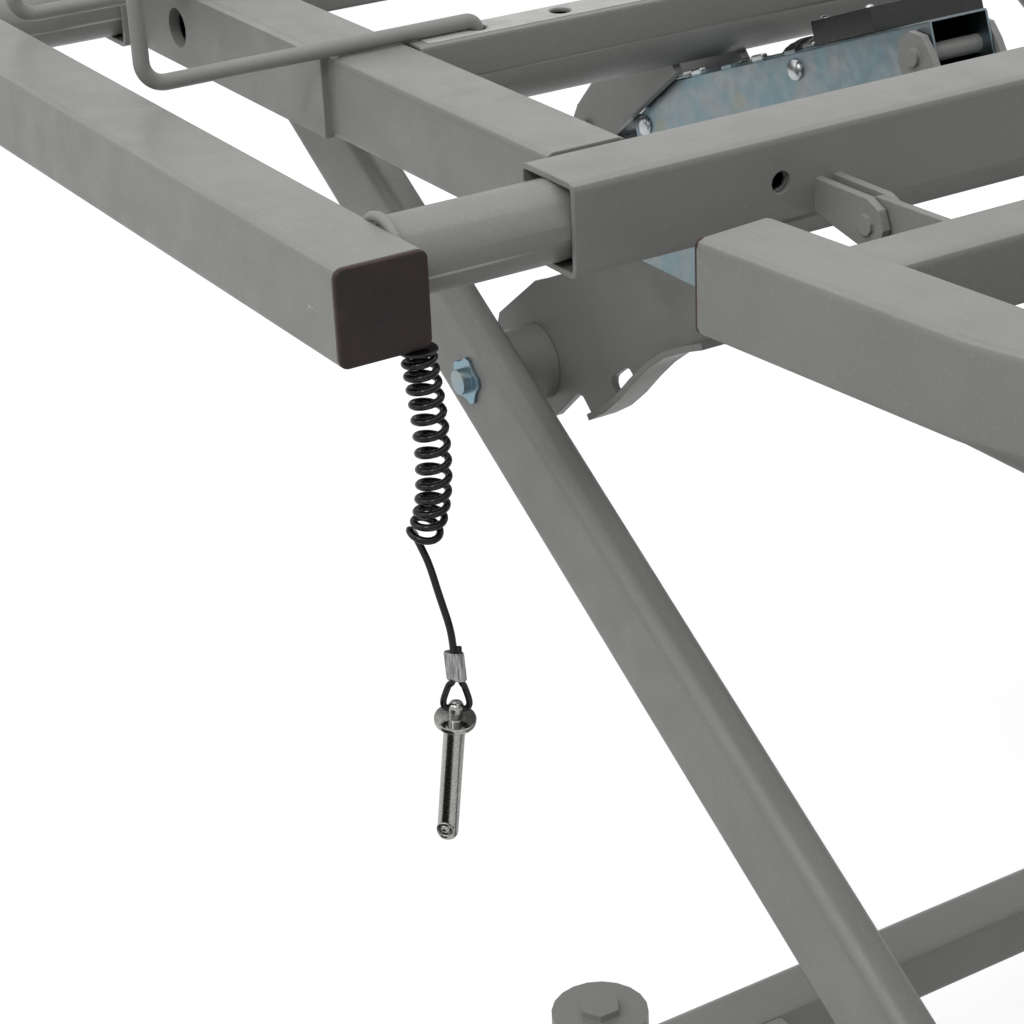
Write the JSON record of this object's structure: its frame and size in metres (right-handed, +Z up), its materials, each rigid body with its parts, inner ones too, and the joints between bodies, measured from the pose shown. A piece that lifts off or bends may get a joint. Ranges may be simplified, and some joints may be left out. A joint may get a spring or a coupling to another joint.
{
  "type": "hospital bed frame",
  "caption": "Electric hospital bed frame with parallel-arm lift, raising back and knee sections, slide-out wings locked by pins, retainer bails and swivel casters.",
  "frame": {"origin": "on the floor at the centre of the frame's outline, wings pulled out", "axes": "+X along the bed towards the head end, +Y across it towards the patient's right, +Z up; the left side, seen in the picture, is at -Y"},
  "size_m": [2.06, 1.066, 0.8729],
  "materials": {
    "painted_steel": "grey powder coat, satin",
    "zinc": "blue zinc plate",
    "bright_steel": "turned, bright",
    "cap_plastic": "moulded, dark brown",
    "black_plastic": "moulded, fine texture",
    "cord_plastic": "smooth jacket",
    "aluminium": "crimped",
    "tyre": "grey rubber"
  },
  "bodies": {
    "base": {"base_rail_left": "painted_steel", "base_rail_right": "painted_steel", "base_cross_foot": "painted_steel", "base_cross_head": "painted_steel"},
    "foot_arms": {"foot_arm_left": "painted_steel", "foot_arm_right": "painted_steel", "foot_torque_tube": "painted_steel"},
    "head_arms": {"head_arm_left": "painted_steel", "head_arm_right": "painted_steel", "head_arm_brace": "painted_steel"},
    "main_frame": {"main_rail_left": "painted_steel", "main_rail_right": "painted_steel", "main_cross_foot": "painted_steel", "main_cross_middle": "painted_steel", "main_cross_head": "painted_steel", "foot_pivot_shaft": "zinc", "head_pivot_shaft": "zinc", "seat_frame": "painted_steel", "back_actuator_body": "black_plastic"},
    "back_section": {"back_rail_left": "painted_steel", "back_rail_right": "painted_steel", "back_cross_hip": "painted_steel", "back_cross_head": "painted_steel"},
    "thigh_section": {"thigh_rail_left": "painted_steel", "thigh_rail_right": "painted_steel", "thigh_cross_knee": "painted_steel", "thigh_cross_hip": "painted_steel"},
    "foot_section": {"foot_rail_left": "painted_steel", "foot_rail_right": "painted_steel", "foot_cross_knee": "painted_steel", "foot_cross_end": "painted_steel", "retainer_bar_knee": "painted_steel", "retainer_bar_foot": "painted_steel"},
    "foot_wing_left": {"foot_wing_left": "painted_steel", "foot_wing_cap_left": "cap_plastic", "lanyard_coil": "cord_plastic", "lanyard_cord": "cord_plastic", "lanyard_ferrule": "aluminium", "lock_pin_left": "bright_steel"},
    "foot_wing_right": {"foot_wing_right": "painted_steel", "foot_wing_cap_right": "cap_plastic"},
    "back_wing_left": {"back_wing_left": "painted_steel"},
    "back_wing_right": {"back_wing_right": "painted_steel"},
    "support_link_left": {"support_link_left": "zinc"},
    "support_link_right": {"support_link_right": "zinc"},
    "mattress_retainer_left": {"mattress_retainer_left": "painted_steel"},
    "mattress_retainer_right": {"mattress_retainer_right": "painted_steel"},
    "lift_actuator": {"lift_actuator_channel": "zinc", "lift_actuator_motor": "black_plastic"},
    "lift_rod": {"lift_actuator_rod": "bright_steel"},
    "back_rod": {"back_actuator_rod": "bright_steel"},
    "caster_foot_left": {"caster_yoke_foot_left": "zinc"},
    "caster_foot_left_wheel": {"caster_wheel_foot_left": "tyre"},
    "caster_foot_right": {"caster_yoke_foot_right": "zinc"},
    "caster_foot_right_wheel": {"caster_wheel_foot_right": "tyre"},
    "caster_head_left": {"caster_yoke_head_left": "zinc"},
    "caster_head_left_wheel": {"caster_wheel_head_left": "tyre"},
    "caster_head_right": {"caster_yoke_head_right": "zinc"},
    "caster_head_right_wheel": {"caster_wheel_head_right": "tyre"}
  },
  "joints": [
    {"name": "lift", "type": "hinge", "parent": "base", "child": "foot_arms", "pos_m": [0.0215, 0, 0.12], "axis": [0, 1, 0], "range_deg": [-24, 6]},
    {"name": "main_level", "type": "hinge", "parent": "foot_arms", "child": "main_frame", "pos_m": [-0.65694, 0, 0.54393], "axis": [0, 1, 0], "range_deg": [-6, 24]},
    {"name": "head_arm_swing", "type": "hinge", "parent": "base", "child": "head_arms", "pos_m": [0.8715, 0, 0.12], "axis": [0, 1, 0], "range_deg": [-24, 6]},
    {"name": "back_lift", "type": "hinge", "parent": "main_frame", "child": "back_section", "pos_m": [0.25, 0, 0.735], "axis": [0, -1, 0], "range_deg": [0, 65]},
    {"name": "knee_lift", "type": "hinge", "parent": "main_frame", "child": "thigh_section", "pos_m": [0.02, 0, 0.703], "axis": [0, 1, 0], "range_deg": [0, 25]},
    {"name": "foot_level", "type": "hinge", "parent": "thigh_section", "child": "foot_section", "pos_m": [-0.38, 0, 0.703], "axis": [0, 1, 0], "range_deg": [-25, 0]},
    {"name": "support_link_left_swing", "type": "hinge", "parent": "main_frame", "child": "support_link_left", "pos_m": [-0.3063, -0.2704, 0.66], "axis": [0, 1, 0], "range_deg": [0, 25]},
    {"name": "foot_wing_left_slide", "type": "slide", "parent": "foot_section", "child": "foot_wing_left", "axis": [0, 1, 0], "range_m": [0, 0.0889]},
    {"name": "back_wing_left_slide", "type": "slide", "parent": "back_section", "child": "back_wing_left", "axis": [0, 1, 0], "range_m": [0, 0.0889]},
    {"name": "mattress_retainer_left_lift", "type": "slide", "parent": "foot_section", "child": "mattress_retainer_left", "axis": [0, 0, 1], "range_m": [0, 0.035]},
    {"name": "support_link_right_swing", "type": "hinge", "parent": "main_frame", "child": "support_link_right", "pos_m": [-0.3063, 0.2704, 0.66], "axis": [0, 1, 0], "range_deg": [0, 25]},
    {"name": "foot_wing_right_slide", "type": "slide", "parent": "foot_section", "child": "foot_wing_right", "axis": [0, -1, 0], "range_m": [0, 0.0889]},
    {"name": "back_wing_right_slide", "type": "slide", "parent": "back_section", "child": "back_wing_right", "axis": [0, -1, 0], "range_m": [0, 0.0889]},
    {"name": "mattress_retainer_right_lift", "type": "slide", "parent": "foot_section", "child": "mattress_retainer_right", "axis": [0, 0, 1], "range_m": [0, 0.035]},
    {"name": "lift_actuator_swing", "type": "hinge", "parent": "main_frame", "child": "lift_actuator", "pos_m": [-0.59, 0, 0.708], "axis": [0, 1, 0], "range_deg": [-17, 5]},
    {"name": "lift_rod_travel", "type": "slide", "parent": "lift_actuator", "child": "lift_rod", "axis": [-0.9402, 0, -0.3405], "range_m": [-0.013, 0.05]},
    {"name": "back_rod_travel", "type": "slide", "parent": "main_frame", "child": "back_rod", "axis": [1, 0, 0], "range_m": [0, 0.147]},
    {"name": "caster_foot_left_swivel", "type": "hinge", "parent": "base", "child": "caster_foot_left", "pos_m": [-0.5215, -0.323, 0.11], "axis": [0, 0, 1], "continuous": true},
    {"name": "caster_foot_left_roll", "type": "hinge", "parent": "caster_foot_left", "child": "caster_foot_left_wheel", "pos_m": [-0.4915, -0.323, 0.05], "axis": [0, 1, 0], "continuous": true},
    {"name": "caster_foot_right_swivel", "type": "hinge", "parent": "base", "child": "caster_foot_right", "pos_m": [-0.5215, 0.323, 0.11], "axis": [0, 0, 1], "continuous": true},
    {"name": "caster_foot_right_roll", "type": "hinge", "parent": "caster_foot_right", "child": "caster_foot_right_wheel", "pos_m": [-0.4915, 0.323, 0.05], "axis": [0, 1, 0], "continuous": true},
    {"name": "caster_head_left_swivel", "type": "hinge", "parent": "base", "child": "caster_head_left", "pos_m": [0.995, -0.323, 0.11], "axis": [0, 0, 1], "continuous": true},
    {"name": "caster_head_left_roll", "type": "hinge", "parent": "caster_head_left", "child": "caster_head_left_wheel", "pos_m": [0.965, -0.323, 0.05], "axis": [0, 1, 0], "continuous": true},
    {"name": "caster_head_right_swivel", "type": "hinge", "parent": "base", "child": "caster_head_right", "pos_m": [0.995, 0.323, 0.11], "axis": [0, 0, 1], "continuous": true},
    {"name": "caster_head_right_roll", "type": "hinge", "parent": "caster_head_right", "child": "caster_head_right_wheel", "pos_m": [0.965, 0.323, 0.05], "axis": [0, 1, 0], "continuous": true}
  ],
  "couplings": [
    {"joint": "main_level", "follows": "lift", "ratio": -1},
    {"joint": "head_arm_swing", "follows": "lift", "ratio": 1},
    {"joint": "foot_level", "follows": "knee_lift", "ratio": -1},
    {"joint": "support_link_left_swing", "follows": "knee_lift", "ratio": 1},
    {"joint": "support_link_right_swing", "follows": "knee_lift", "ratio": 1},
    {"joint": "lift_actuator_swing", "follows": "lift", "ratio": 0.68},
    {"joint": "lift_rod_travel", "follows": "lift", "m_per_rad": -0.1175},
    {"joint": "back_rod_travel", "follows": "back_lift", "m_per_rad": 0.12916}
  ]
}
